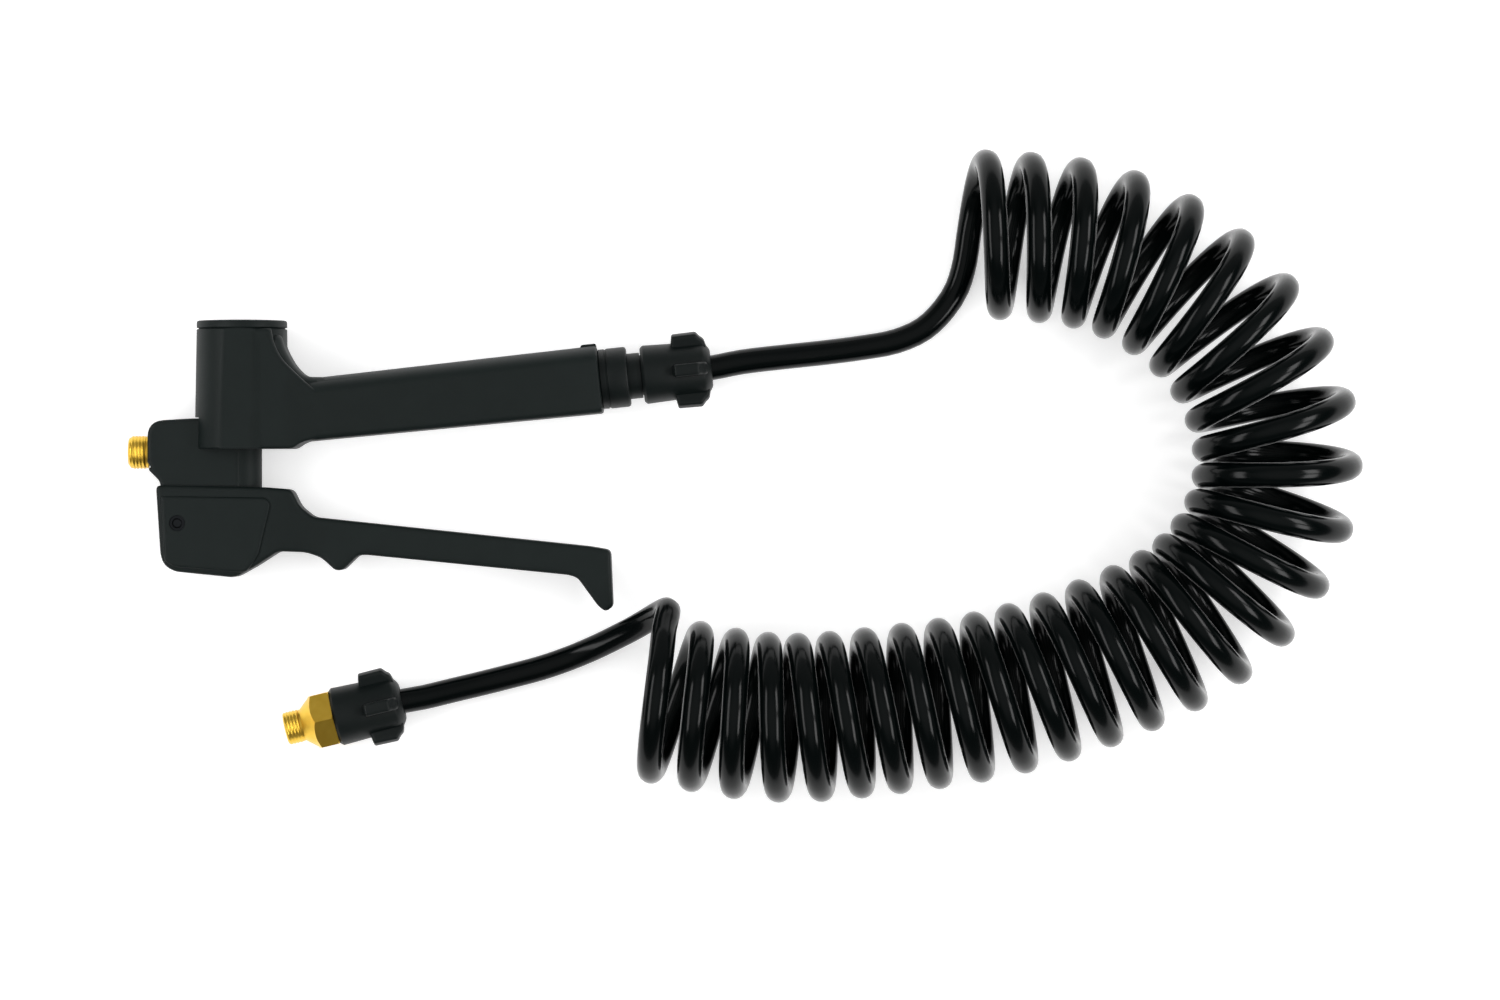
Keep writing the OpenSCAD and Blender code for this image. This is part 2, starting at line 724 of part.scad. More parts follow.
module thrust_pad() {
    color("#b4b7ba") {
        up_barrel(pad_y - pad_h) cylinder(h = pad_h, r = pad_r);
        up_barrel(pad_y - pad_h - pad_pin_len) cylinder(h = pad_pin_len + eps, r = pad_pin_r);
    }
}

/* ---- what the lever lifts ---- */

module valve_stem() {
    color("#b9bcbe") {
        up_barrel(stem_foot_y) cylinder(h = seat_y - stem_foot_y, r = stem_r);
        up_barrel(stem_foot_y) sphere(r = stem_r);
        up_barrel(seat_y - eps) cylinder(h = stem_nut_y + stem_nut_h + spindle_over - seat_y, r = spindle_r);
    }
}

module poppet_washer() {
    color("#151515") up_barrel(seat_y) difference() {
        cylinder(h = washer_h, r = washer_r);
        translate([0, 0, -eps]) cylinder(h = washer_h + 2 * eps, r = spindle_r + ring_slip);
    }
}

module poppet() {
    color("#c2a04e") up_barrel(poppet_y) difference() {
        union() {
            cylinder(h = poppet_h, r = poppet_r);
            cylinder(h = poppet_h + spigot_h, r = spigot_r);
        }
        translate([0, 0, -eps]) cylinder(h = poppet_h + spigot_h + 2 * eps, r = spindle_r + ring_slip);
    }
}

module stem_nut() {
    color("#9ea2a4") up_barrel(stem_nut_y) difference() {
        cylinder(h = stem_nut_h, r = stem_nut_af / 2 / cos(30), $fn = 6);
        translate([0, 0, -eps]) cylinder(h = stem_nut_h + 2 * eps, r = spindle_r + ring_slip);
    }
}

spring_from = spigot_y + spring_wire_r + ring_slip;
spring_to = spring_top - spring_wire_r - ring_slip;
spring_path = [
    for (i = [0 : spring_turns * rings_a_turn])
        let (f = i / (spring_turns * rings_a_turn))
        [
            outlet_reach + spring_r * cos(360 * spring_turns * f),
            spring_from + f * (spring_to - spring_from),
            spring_r * sin(360 * spring_turns * f)
        ]
];

module valve_spring() {
    color("#aeb2b5") tube(spring_path, spring_wire_r, coil_sides, [0, 0, 1], [0, 0, 1]);
}

/* ---- hose ---- */

module hose_gun_tail() {
    path = concat([gun_tail_start, gun_nut_end], gun_route, [coil_in]);
    color("#0e0f10") tube(path, hose_r, tail_sides, handle_dir, coil_in_dir);
}

module hose_coil() {
    color("#0e0f10") tube(coil_path, hose_r, coil_sides, coil_in_dir, coil_out_dir);
}

module hose_end_tail() {
    path = concat([coil_out], end_route, [end_nut_end, end_tail_start]);
    color("#0e0f10") tube(path, hose_r, tail_sides, coil_out_dir, -end_dir);
}

module end_hose_end() {
    along_end(end_nut_start) hose_end();
}

module end_clamp_sleeve() {
    along_end(end_nut_start) clamp_sleeve();
}

module end_hose_nut() {
    along_end(end_nut_start) nut();
}

module end_fitting() {
    hex_start = end_thread_len + end_cone_len;
    color("#c9a24a") along_end() difference() {
        union() {
            cylinder(h = end_thread_len + eps, r = thread_r);
            translate([0, 0, end_thread_len])
                cylinder(h = end_cone_len + eps, r1 = thread_r, r2 = end_cone_r);
            translate([0, 0, hex_start]) cylinder(h = end_hex_len, r = hex_af / 2 / cos(30), $fn = 6);
            translate([0, 0, end_nut_start]) hose_spigot();
        }
        translate([0, 0, -eps]) cylinder(h = end_nut_start + nut_len, r = waterway_r);
    }
}

handle_body();
barrel_cap();
cap_seal();
valve_body();
body_seals();
valve_seat();
stem_bush();
stem_seals();
outlet_nipple();
outlet_seal();
handle_tube();
tube_seals();
hose_connector();
gun_hose_nut();
gun_clamp_sleeve();
gun_hose_end();
pivot_pin();
pin_clips();
lever();
thrust_pad();
valve_stem();
poppet();
poppet_washer();
stem_nut();
valve_spring();
hose_gun_tail();
hose_coil();
hose_end_tail();
end_hose_end();
end_clamp_sleeve();
end_hose_nut();
end_fitting();
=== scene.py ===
"""Looks of a squeeze-lever valve gun and its spiral recoil hose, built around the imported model.

Lengths are in millimetres until a mesh is made, and metres after that. +Z is up from the table.
"""

import math

import bmesh
import bpy
import numpy as np
from mathutils import Matrix, Vector
from mathutils.geometry import delaunay_2d_cdt


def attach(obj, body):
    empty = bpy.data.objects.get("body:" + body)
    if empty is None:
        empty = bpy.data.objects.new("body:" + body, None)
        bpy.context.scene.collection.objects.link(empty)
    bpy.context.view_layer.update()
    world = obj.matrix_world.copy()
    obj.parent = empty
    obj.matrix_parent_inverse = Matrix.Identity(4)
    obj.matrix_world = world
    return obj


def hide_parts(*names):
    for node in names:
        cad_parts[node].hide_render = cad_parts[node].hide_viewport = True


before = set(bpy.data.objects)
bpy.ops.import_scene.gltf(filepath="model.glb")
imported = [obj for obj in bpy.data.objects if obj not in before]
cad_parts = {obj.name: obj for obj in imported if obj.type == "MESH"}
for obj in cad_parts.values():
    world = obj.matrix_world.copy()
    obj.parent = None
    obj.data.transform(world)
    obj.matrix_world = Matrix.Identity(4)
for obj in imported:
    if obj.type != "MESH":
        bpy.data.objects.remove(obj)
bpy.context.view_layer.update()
MM = 0.001

# ---- driving dimensions, in millimetres ----

TABLE_Z = -18
BARREL_X = 45
BARREL_R = 18
BARREL_DRAFT = 0.8
BARREL_FOOT = 1.4
BARREL_TOP = 49
CAP_TOP = 52.4
FLAT_HALF = 17
BORE_R = 13.1
BLOCK_HALF = 8.5
HANDLE_RISE = 14
HANDLE_TILT = math.radians(6)
HANDLE_LEN = 143.5
FLANGE_R = 12
FLANGE_LEN = 11.4
NECK_LEN = 5.4
NECK_R = 8
NUT_START = HANDLE_LEN + FLANGE_LEN + NECK_LEN
NUT_LEN = 27.8
NUT_R = 11.6
CORE_R = 11.1
FIN_R = 15.3
FIN_WIDTH = 5
FIN_COUNT = 5
COLLAR_LEN = 12.9
THREAD_R = 6.58
THREAD_PITCH = 1.337
END_TIP = Vector((62.2, -110.4, -4.1526))
END_TURN = math.radians(13.5)
END_THREAD_LEN = 6.4
HEX_START = 11.8
END_NUT_START = 20
HEX_HALF = 10.5
HOSE_R = 5
BARB_R = 3.18
BARB_END = NUT_LEN - 5
COIL_R = 28.75
HINGE = Vector((-24.8, -28.2))
PIN_R = 2
PIN_HALF = 11.8
PIN_BORE_R = 2.05
PIN_RECESS_R = 3.2
PLUG_R = 13
CHAMBER_R = 8
STEM_BORE_R = 2.55
PAD_BOSS_R = 6
PAD_BORE_R = 1.52
TUBE_BORE_R = 6.1
CONNECTOR_BORE_R = 9.7
NECK_BORE_R = 8.1
HOSE_FIT_R = 5.3
SLEEVE_SEAT_R = 7
SHANK_R = 5.18


# ---- camera ----

def place_camera():
    """Looks straight down on the middle of the table from far above, so that depth hardly shows."""
    eye = Vector((247.4, -19, 2500)) * MM
    data = bpy.data.cameras.new("camera")
    data.sensor_width = 36
    data.lens = 150.6
    data.clip_start = 0.01
    camera = bpy.data.objects.new("camera", data)
    camera.location = eye
    bpy.context.scene.collection.objects.link(camera)
    bpy.context.scene.camera = camera


# ---- meshes ----

def link(name, mesh):
    piece = bpy.data.objects.new(name, mesh)
    bpy.context.scene.collection.objects.link(piece)
    return piece


def solid(name, points, faces, place=None):
    """A piece from points in millimetres, set in place, with its faces turned outwards."""
    mesh = bpy.data.meshes.new(name)
    mesh.from_pydata([tuple(p) for p in points], [], faces)
    if place is not None:
        mesh.transform(place)
    mesh.transform(Matrix.Scale(MM, 4))
    form = bmesh.new()
    form.from_mesh(mesh)
    bmesh.ops.remove_doubles(form, verts=form.verts, dist=1e-7)
    bmesh.ops.recalc_face_normals(form, faces=form.faces)
    form.to_mesh(mesh)
    form.free()
    return link(name, mesh)


def smooth(piece, degrees=38):
    """Shades round stretches smooth and keeps the edges sharper than the angle."""
    piece.data.shade_smooth()
    piece.data.set_sharp_from_angle(angle=math.radians(degrees))
    return piece


def baked(piece):
    """Applies the piece's modifiers to its mesh."""
    graph = bpy.context.evaluated_depsgraph_get()
    result = bpy.data.meshes.new_from_object(piece.evaluated_get(graph), depsgraph=graph)
    piece.modifiers.clear()
    piece.data = result
    return piece


def combine(piece, others, operation):
    """Joins the other pieces to this one, or cuts them out of it, and deletes them."""
    for other in others:
        step = piece.modifiers.new("combine", "BOOLEAN")
        step.operation = operation
        step.solver = "EXACT"
        step.object = other
        baked(piece)
        bpy.data.objects.remove(other)
    return piece


def joined(piece, *others):
    return combine(piece, others, "UNION")


def cut(piece, *others):
    return combine(piece, others, "DIFFERENCE")


def turned(name, profile, place, sides=96):
    """A turned solid from (distance, radius) pairs along +Z. A profile that starts and ends on the
    axis is full, and one that returns to its first point is a tube."""
    tube = profile[0] == profile[-1]
    rows = profile[:-1] if tube else profile
    points, rings = [], []
    for along, radius in rows:
        if radius == 0:
            points.append((0, 0, along))
            rings.append([len(points) - 1])
            continue
        rings.append(range(len(points), len(points) + sides))
        points += [
            (radius * math.cos(math.tau * k / sides), radius * math.sin(math.tau * k / sides), along)
            for k in range(sides)
        ]
    faces = []
    pairs = list(zip(rings, rings[1:])) + ([(rings[-1], rings[0])] if tube else [])
    for low, high in pairs:
        for k in range(sides):
            after = (k + 1) % sides
            if len(low) == 1:
                faces.append((low[0], high[k], high[after]))
            elif len(high) == 1:
                faces.append((low[k], high[0], low[after]))
            else:
                faces.append((low[k], high[k], high[after], low[after]))
    return solid(name, points, faces, place)


def rod(radius, start, end, place, sides=64):
    return turned("rod", [(start, 0), (start, radius), (end, radius), (end, 0)], place, sides)


def threaded(name, radius, start, end, bore, place, mouth=0.8, sides=96, depth=0.22):
    """A tube with a worn, round-crested outside screw thread from start to end. The thread's start
    is turned down over the length of its mouth, and its end a little."""
    rows = int(round((end - start) / (THREAD_PITCH / 12)))
    points, faces = [], []
    for row in range(rows + 1):
        along = start + (end - start) * row / rows
        nose = max(0, 1 - (along - start) / mouth)
        relief = max(0, 1 - (end - along) / 0.5)
        for k in range(sides):
            turn = math.tau * k / sides
            wave = math.cos(math.tau * along / THREAD_PITCH - turn)
            r = radius - depth / 2 * (1 - wave) - 0.65 * mouth * nose ** 2 - 0.4 * relief
            points.append((r * math.cos(turn), r * math.sin(turn), along))
    inner = len(points)
    for along in (start, end):
        points += [
            (bore * math.cos(math.tau * k / sides), bore * math.sin(math.tau * k / sides), along)
            for k in range(sides)
        ]
    for k in range(sides):
        after = (k + 1) % sides
        for row in range(rows):
            a, b = row * sides, (row + 1) * sides
            faces.append((a + k, b + k, b + after, a + after))
        top = rows * sides
        faces.append((inner + k, k, after, inner + after))
        faces.append((top + k, inner + sides + k, inner + sides + after, top + after))
        faces.append((inner + sides + k, inner + k, inner + after, inner + sides + after))
    return solid(name, points, faces, place)


def rounded(outline, radius, steps=6, sharp=()):
    """The outline with each corner drawn as a short curve."""
    result = []
    count = len(outline)
    for i, corner in enumerate(outline):
        here = Vector(corner)
        if i in sharp:
            result.append(here)
            continue
        before = Vector(outline[i - 1]) - here
        after = Vector(outline[(i + 1) % count]) - here
        reach = min(radius, before.length * 0.45, after.length * 0.45)
        a, b = here + before.normalized() * reach, here + after.normalized() * reach
        for s in range(steps + 1):
            f = s / steps
            result.append(a * (1 - f) ** 2 + here * 2 * f * (1 - f) + b * f * f)
    return result


def distance_to(outline, points):
    """Distance of each point from the closed outline."""
    a = np.array(outline)
    b = np.roll(a, -1, axis=0)
    best = np.full(len(points), 1e9)
    for start, end in zip(a, b):
        along = end - start
        length = max(float(along @ along), 1e-12)
        f = np.clip((points - start) @ along / length, 0, 1)
        best = np.minimum(best, np.linalg.norm(points - start - f[:, None] * along, axis=1))
    return best


def plate(name, outline, half, edge, place, pitch=1.3):
    """A flat moulding with this outline, whose long edges are rounded. Half its thickness is a
    number or a function of the points."""
    line = []
    count = len(outline)
    for i in range(count):
        a, b = Vector(outline[i]), Vector(outline[(i + 1) % count])
        pieces = max(1, int((b - a).length / pitch))
        line += [a.lerp(b, s / pieces) for s in range(pieces)]
    rim = np.array(line)
    area = 0.5 * sum(p[0] * q[1] - q[0] * p[1] for p, q in zip(rim, np.roll(rim, -1, axis=0)))
    tangent = np.roll(rim, -1, axis=0) - np.roll(rim, 1, axis=0)
    tangent /= np.linalg.norm(tangent, axis=1)[:, None]
    inward = np.stack([-tangent[:, 1], tangent[:, 0]], axis=1) * (1 if area > 0 else -1)
    inner = []
    for share in (0.06, 0.2, 0.4, 0.65, 1.0, 1.5):
        ring = rim + inward * share * edge
        inner.append(ring[distance_to(rim, ring) > 0.93 * share * edge])
    low, high = rim.min(axis=0), rim.max(axis=0)
    grid = np.stack(np.meshgrid(np.arange(low[0], high[0], 3), np.arange(low[1], high[1], 3)), -1)
    grid = grid.reshape(-1, 2)
    inner.append(grid[distance_to(rim, grid) > 2 * edge + 0.6])
    spots = [Vector(p) for p in rim] + [Vector(p) for p in np.concatenate(inner)]
    ring = [(i, (i + 1) % len(rim)) for i in range(len(rim))]
    found, _, faces, *_ = delaunay_2d_cdt(spots, ring, [], 1, 1e-5)
    flat = np.array([tuple(p) for p in found])
    depth = np.minimum(distance_to(rim, flat), edge)
    depth[depth < 1e-4] = 0
    level = half(flat) if callable(half) else half
    height = level - edge + np.sqrt(np.maximum(edge ** 2 - (edge - depth) ** 2, 0))
    total = len(flat)
    points = [(p[0], p[1], h) for p, h in zip(flat, height)]
    points += [(p[0], p[1], -h) for p, h in zip(flat, height)]
    used = {(a, b) for face in faces for a, b in zip(face, list(face[1:]) + [face[0]])}
    walls = [(b, a, a + total, b + total) for a, b in used if (b, a) not in used]
    under = [tuple(reversed([i + total for i in face])) for face in faces]
    return solid(name, points, [tuple(f) for f in faces] + under + walls, place)


def slab(name, low, high, half, place):
    """A plain block between two corners of the table's plane, for cuts."""
    corners = [(low[0], low[1]), (high[0], low[1]), (high[0], high[1]), (low[0], high[1])]
    return lofted(name, [[(x, y, z) for x, y in corners] for z in (-half, half)], place)


def lofted(name, rings, place=None):
    """A closed skin over rings that have the same number of points."""
    sides = len(rings[0])
    points = [p for ring in rings for p in ring]
    faces = []
    for i in range(len(rings) - 1):
        for k in range(sides):
            after = (k + 1) % sides
            faces.append((i * sides + k, (i + 1) * sides + k, (i + 1) * sides + after, i * sides + after))
    faces.append(tuple(range(sides)))
    last = (len(rings) - 1) * sides
    faces.append(tuple(last + k for k in reversed(range(sides))))
    return solid(name, points, faces, place)


# ---- places on the gun ----

AT_BARREL = Matrix.Translation((BARREL_X, 0, 0))
UP_BARREL = AT_BARREL @ Matrix.Rotation(-math.pi / 2, 4, "X")
AT_HANDLE = AT_BARREL @ Matrix.Translation((0, HANDLE_RISE, 0)) @ Matrix.Rotation(HANDLE_TILT, 4, "Z")
OUT_HANDLE = AT_HANDLE @ Matrix.Rotation(math.pi / 2, 4, "Y")
AT_PIVOT = AT_BARREL @ Matrix.Translation((HINGE.x, HINGE.y, 0))
ALONG_END = (
    Matrix.Translation(END_TIP) @ Matrix.Rotation(END_TURN, 4, "Z") @ Matrix.Rotation(math.pi / 2, 4, "Y")
)
OUTLET = Matrix.Rotation(math.pi / 2, 4, "Y")


# ---- hose ----

COIL_Z = TABLE_Z + HOSE_R + COIL_R
COIL_GUIDE = [
    (343.5, 86), (395, 83.5), (445.5, 47.5), (463.5, -10.5), (437, -60.5),
    (392, -81.5), (346, -97), (299, -102.5), (256.5, -107.5), (210.5, -97.5),
]
GUIDE_FIRST = 1.25
GUIDE_TURNS = 3
COIL_FROM = 0.75
COIL_TO = 28.375
RINGS_A_TURN = 32
HOSE_SIDES = 20
HOSE_LOW = TABLE_Z + HOSE_R
GUN_ROUTE = [
    (244, 36, -1), (260, 38, -4), (276, 39.8, -8), (292.5, 42, -11.6), (306, 44.6, HOSE_LOW),
    (317, 49.6, HOSE_LOW), (325.2, 57.6, HOSE_LOW), (330.4, 66, HOSE_LOW),
]
END_ROUTE = [
    (215, -62.8, 20), (213.1, -62.9, 13), (208.6, -65.6, 5), (202, -69.6, -1), (194, -73.8, -6),
    (185, -78.2, -10.4), (175, -82.4, HOSE_LOW), (164, -86.2, HOSE_LOW), (152, -89.4, HOSE_LOW),
    (140, -92.4, -11.6), (128, -95.2, -8.6), (117, -97.8, -5.8),
]


def guide_point(i):
    guide = [Vector(p) for p in COIL_GUIDE]
    last = len(guide) - 1
    if i < 0:
        return guide[0] + i * (guide[1] - guide[0])
    if i > last:
        return guide[last] + (i - last) * (guide[last] - guide[last - 1])
    return guide[i]


def coil_middle(turn):
    """The spiral's middle line, a cubic B-spline over the guide points."""
    u = (turn - GUIDE_FIRST) / GUIDE_TURNS
    i = math.floor(u)
    f = u - i
    a, b, c, d = (guide_point(i + k) for k in (-1, 0, 1, 2))
    return (
        (1 - f) ** 3 * a + (3 * f ** 3 - 6 * f * f + 4) * b
        + (-3 * f ** 3 + 3 * f * f + 3 * f + 1) * c + f ** 3 * d
    ) / 6


def coil_point(turn):
    middle = coil_middle(turn)
    ahead = (coil_middle(turn + 0.01) - coil_middle(turn - 0.01)).normalized()
    out = COIL_R * math.cos(math.tau * turn)
    return Vector((
        middle.x - ahead.y * out, middle.y + ahead.x * out, COIL_Z + COIL_R * math.sin(math.tau * turn)
    ))


def through(points, step=4.0):
    """A smooth curve through the points, with a point about every step."""
    result = []
    for i in range(1, len(points) - 2):
        p = points[i - 1:i + 3]
        knots = [0.0]
        for a, b in zip(p, p[1:]):
            knots.append(knots[-1] + (b - a).length ** 0.5)
        t0, t1, t2, t3 = knots
        count = max(1, round((p[2] - p[1]).length / step))
        for s in range(count):
            t = t1 + (t2 - t1) * s / count
            a1 = p[0] * (t1 - t) / (t1 - t0) + p[1] * (t - t0) / (t1 - t0)
            a2 = p[1] * (t2 - t) / (t2 - t1) + p[2] * (t - t1) / (t2 - t1)
            a3 = p[2] * (t3 - t) / (t3 - t2) + p[3] * (t - t2) / (t3 - t2)
            b1 = a1 * (t2 - t) / (t2 - t0) + a2 * (t - t0) / (t2 - t0)
            b2 = a2 * (t3 - t) / (t3 - t1) + a3 * (t - t1) / (t3 - t1)
            result.append(b1 * (t2 - t) / (t2 - t1) + b2 * (t - t1) / (t2 - t1))
    return result


def hose_path():
    """The hose's middle line from the gun's nut to the far nut."""
    heading = (coil_point(COIL_FROM + 0.002) - coil_point(COIL_FROM - 0.002)).normalized()
    leaving = (coil_point(COIL_TO + 0.002) - coil_point(COIL_TO - 0.002)).normalized()
    coil_in = coil_point(COIL_FROM) - 2 * HOSE_R * heading
    coil_out = coil_point(COIL_TO) + 2 * HOSE_R * leaving
    count = int(round((COIL_TO - COIL_FROM) * RINGS_A_TURN))
    coil = [coil_point(COIL_FROM + (COIL_TO - COIL_FROM) * i / count) for i in range(count + 1)]
    inside, nose = NUT_START + BARB_END, NUT_START + NUT_LEN
    gun = [OUT_HANDLE @ Vector((0, 0, d)) for d in (inside - 4, inside, nose)]
    far = [ALONG_END @ Vector((0, 0, d)) for d in (NUT_LEN, BARB_END, BARB_END - 4)]
    far = [p + (ALONG_END.to_3x3() @ Vector((0, 0, END_NUT_START))) for p in far]
    first = through(gun + [Vector(p) for p in GUN_ROUTE] + [coil_in, coil[0], coil[6]])
    last = through([coil[-7], coil[-1], coil_out] + [Vector(p) for p in END_ROUTE] + far)
    path = first + coil + last[1:] + [far[1]]
    for point in path:
        point.z = max(point.z, HOSE_LOW)
    return path


def make_hose():
    path = hose_path()
    count = len(path)
    headings = [
        (path[min(i + 1, count - 1)] - path[max(i - 1, 0)]).normalized() for i in range(count)
    ]
    side = Vector((0, 0, 1))
    points, run, length = [], [], 0.0
    for i, (middle, ahead) in enumerate(zip(path, headings)):
        if i:
            length += (middle - path[i - 1]).length
        run.append(length)
        side = (side - ahead * side.dot(ahead)).normalized()
        across = ahead.cross(side)
        for k in range(HOSE_SIDES):
            turn = math.tau * k / HOSE_SIDES
            points.append(middle + HOSE_R * (math.cos(turn) * side + math.sin(turn) * across))
    faces, corners = [], []
    for i in range(count - 1):
        for k in range(HOSE_SIDES):
            after = (k + 1) % HOSE_SIDES
            a, b = i * HOSE_SIDES, (i + 1) * HOSE_SIDES
            faces.append((a + k, a + after, b + after, b + k))
            u, v = k / HOSE_SIDES, (k + 1) / HOSE_SIDES
            corners += [(run[i] * MM, u), (run[i] * MM, v), (run[i + 1] * MM, v), (run[i + 1] * MM, u)]
    last = (count - 1) * HOSE_SIDES
    faces.append(tuple(reversed(range(HOSE_SIDES))))
    faces.append(tuple(last + k for k in range(HOSE_SIDES)))
    corners += [(0, 0)] * (2 * HOSE_SIDES)
    mesh = bpy.data.meshes.new("hose")
    mesh.from_pydata([tuple(p * MM) for p in points], [], faces)
    layer = mesh.uv_layers.new(name="along_hose")
    layer.data.foreach_set("uv", [c for pair in corners for c in pair])
    hose = smooth(link("hose", mesh), 50)
    return hose, [p * MM for p in path], run[-1] * MM


# ---- handle and barrel ----

GRIP_START = 16


def handle_height(d):
    """The handle's height at distance d, from 24.5 near the barrel to 27 at its end."""
    return 24.5 + 2.5 * (d - GRIP_START) / (HANDLE_LEN - GRIP_START)


def handle_side(d):
    """Half the handle's depth at distance d, just under the barrel's flats where it leaves them."""
    return FLAT_HALF - 0.04 - 2.46 * max(0.0, d - GRIP_START) / (HANDLE_LEN - GRIP_START)


def handle_section(d, inset=0.0):
    """One section across the handle: a round back for the palm and squarer edges for the fingers."""
    half, side = handle_height(d) / 2 - inset, handle_side(d) - inset
    ring = []
    for across, down, up, sign, start in (
        (11.5, 7, 1, 1, 0), (2.6, 2.6, -1, 1, 90), (2.6, 2.6, -1, -1, 180), (11.5, 7, 1, -1, 270),
    ):
        for s in range(11):
            turn = math.radians(start + s * 9)
            y = up * (half - down) + down * math.cos(turn)
            z = sign * (side - across) + across * math.sin(turn)
            ring.append((d, y, z))
    return ring


def make_handle():
    """Barrel, swept root and handle as one moulding."""
    foot = BARREL_R + BARREL_DRAFT
    barrel = turned("handle", [
        (BARREL_FOOT, 0), (BARREL_FOOT, foot - 0.4), (BARREL_FOOT + 0.4, foot),
        (BARREL_TOP - 0.3, BARREL_R), (BARREL_TOP, BARREL_R - 0.3), (BARREL_TOP, 0),
    ], UP_BARREL, 128)
    combine(barrel, [slab("flats", (-60, -60), (60, 60), FLAT_HALF, AT_BARREL)], "INTERSECT")
    root = rounded([
        (0, BARREL_FOOT), (21.4, BARREL_FOOT), (24.6, 3.8), (34, 6.4), (40, 8.4),
        (40, 21.6), (34, 23.4), (29.9, 24.8), (24.7, 29.2), (21, 32.8), (17.4, 36.4), (14.2, 42),
        (12.6, BARREL_TOP), (0, BARREL_TOP),
    ], 3, sharp=(0, 12, 13))
    web = rounded([
        (0, 14), (44, 24), (36, 29.8), (26, 29.9), (21.4, 34.4), (17.6, 41.4), (16.4, 47), (0, 47),
    ], 4, sharp=(0, 7))
    places = [
        (13, 0), (30, 0), (60, 0), (100, 0),
        (HANDLE_LEN - 1.2, 0), (HANDLE_LEN - 0.4, 0.25), (HANDLE_LEN, 1.0),
    ]
    grip = lofted("grip", [handle_section(d, inset) for d, inset in places], AT_HANDLE)
    tab = rounded([
        (136.2, 11), (HANDLE_LEN - 0.2, 11), (HANDLE_LEN - 0.2, 14.4), (137.3, 14.4),
    ], 0.8, sharp=(0, 1))

    def root_half(spots):
        return FLAT_HALF - 0.02 - 0.035 * np.maximum(spots[:, 0] - 20, 0)

    parts = [
        plate("root", root, root_half, 1.3, AT_BARREL),
        plate("web", web, 14, 5, AT_BARREL),
        grip,
        plate("tab", tab, 4, 0.6, AT_HANDLE, 0.6),
    ]
    joined(barrel, *parts)
    cut(
        barrel,
        rod(BORE_R, 0, BARREL_TOP + 1, UP_BARREL, 96),
        slab("notch", (-60, -60), (0, 13.9), BLOCK_HALF + 0.1, AT_BARREL),
        rod(TUBE_BORE_R, 9, 34, OUT_HANDLE),
        rod(CONNECTOR_BORE_R, 30, 160, OUT_HANDLE),
    )
    return smooth(barrel, 32)


def make_cap():
    """The barrel's screwed cap, with a shallow dish and two key sockets in its face."""
    cap = turned("cap", [
        (BARREL_TOP, 0), (BARREL_TOP, BARREL_R - 1), (BARREL_TOP + 0.5, BARREL_R - 0.7),
        (BARREL_TOP + 0.6, BARREL_R), (CAP_TOP - 0.8, BARREL_R), (CAP_TOP - 0.25, BARREL_R - 0.25),
        (CAP_TOP, BARREL_R - 0.8), (CAP_TOP, BARREL_R - 3), (CAP_TOP - 0.9, BARREL_R - 3.8),
        (CAP_TOP - 0.9, 4), (CAP_TOP - 0.6, 3.4), (CAP_TOP - 0.6, 0),
    ], UP_BARREL, 128)
    sockets = [
        rod(1.7, CAP_TOP - 2.2, CAP_TOP + 1, UP_BARREL @ Matrix.Translation((across, 0, 0)), 32)
        for across in (-9, 9)
    ]
    return smooth(cut(cap, *sockets), 30)


# ---- valve body ----

def make_valve_body():
    """Outlet block, stem guide and the lug between the lever's plates."""
    block = rounded([
        (-37, -6.6), (-32, -11.6), (-30.8, -28.2), (-28.6, -32.6), (-24.8, -34.2), (-21, -32.6),
        (-18.8, -28.2), (-14, -15.4), (0, -15.4), (0, 13.8),
    ], 1.5, sharp=(8, 9))
    shoulder = rounded([(-20, 13.4), (-37, 12.4), (-37, -4)], 6.5, sharp=(0, 2))
    body = plate("valve_block", block + shoulder, BLOCK_HALF, 1.4, AT_BARREL)
    guide = turned("guide", [(-15.4, 0), (-15.4, 7.4), (-14.8, 8), (2, 8), (2, 0)], UP_BARREL)
    joined(body, guide, rod(PLUG_R, BARREL_FOOT, 43, UP_BARREL, 96))
    cut(
        body,
        rod(STEM_BORE_R, -17, 1, UP_BARREL),
        rod(CHAMBER_R, 10, 50, UP_BARREL),
        rod(PIN_R + 0.02, -9, 9, AT_PIVOT),
        rod(SHANK_R + 0.04, -0.1, 20, OUTLET @ Matrix.Translation((0, 0, 8))),
    )
    return smooth(body, 32)


# ---- brass ----

def make_nipple():
    """The outlet's short male thread with its chamfered mouth."""
    bore = 3
    thread = threaded("outlet_thread", THREAD_R, 0, 7.2, bore, OUTLET, 2)
    shank = turned("shank", [
        (7.2, bore), (7.2, 6.3), (8, 6.3), (8, SHANK_R), (20, SHANK_R), (20, bore), (7.2, bore),
    ], OUTLET)
    return smooth(joined(thread, shank), 35)


